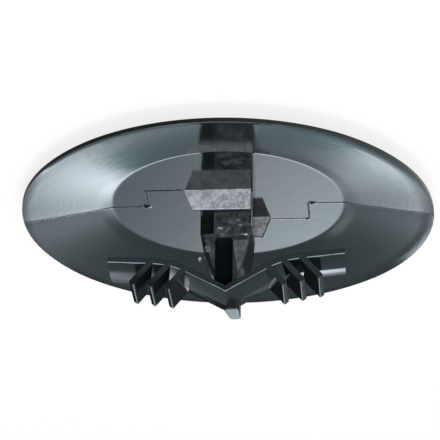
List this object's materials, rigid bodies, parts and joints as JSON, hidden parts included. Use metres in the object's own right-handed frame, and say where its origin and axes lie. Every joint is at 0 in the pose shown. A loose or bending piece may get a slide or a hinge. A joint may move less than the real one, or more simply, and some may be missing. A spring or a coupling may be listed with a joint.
{
  "type": "bonnet clip",
  "caption": "Push-in bonnet clip: a wide dished head with a cored stem whose toothed wings fold back to grip a panel hole.",
  "frame": {"origin": "centre of the head's flat outer face", "axes": "+Z along the stem towards its tip, X the way the wings spread, +Y towards the side that the ear at -X is flush with"},
  "size_m": [0.05, 0.05, 0.0151],
  "materials": {
    "black_plastic": "glossy black moulded plastic with a faint cool tint"
  },
  "bodies": {
    "root": {"bonnet_clip": "black_plastic"}
  },
  "joints": []
}
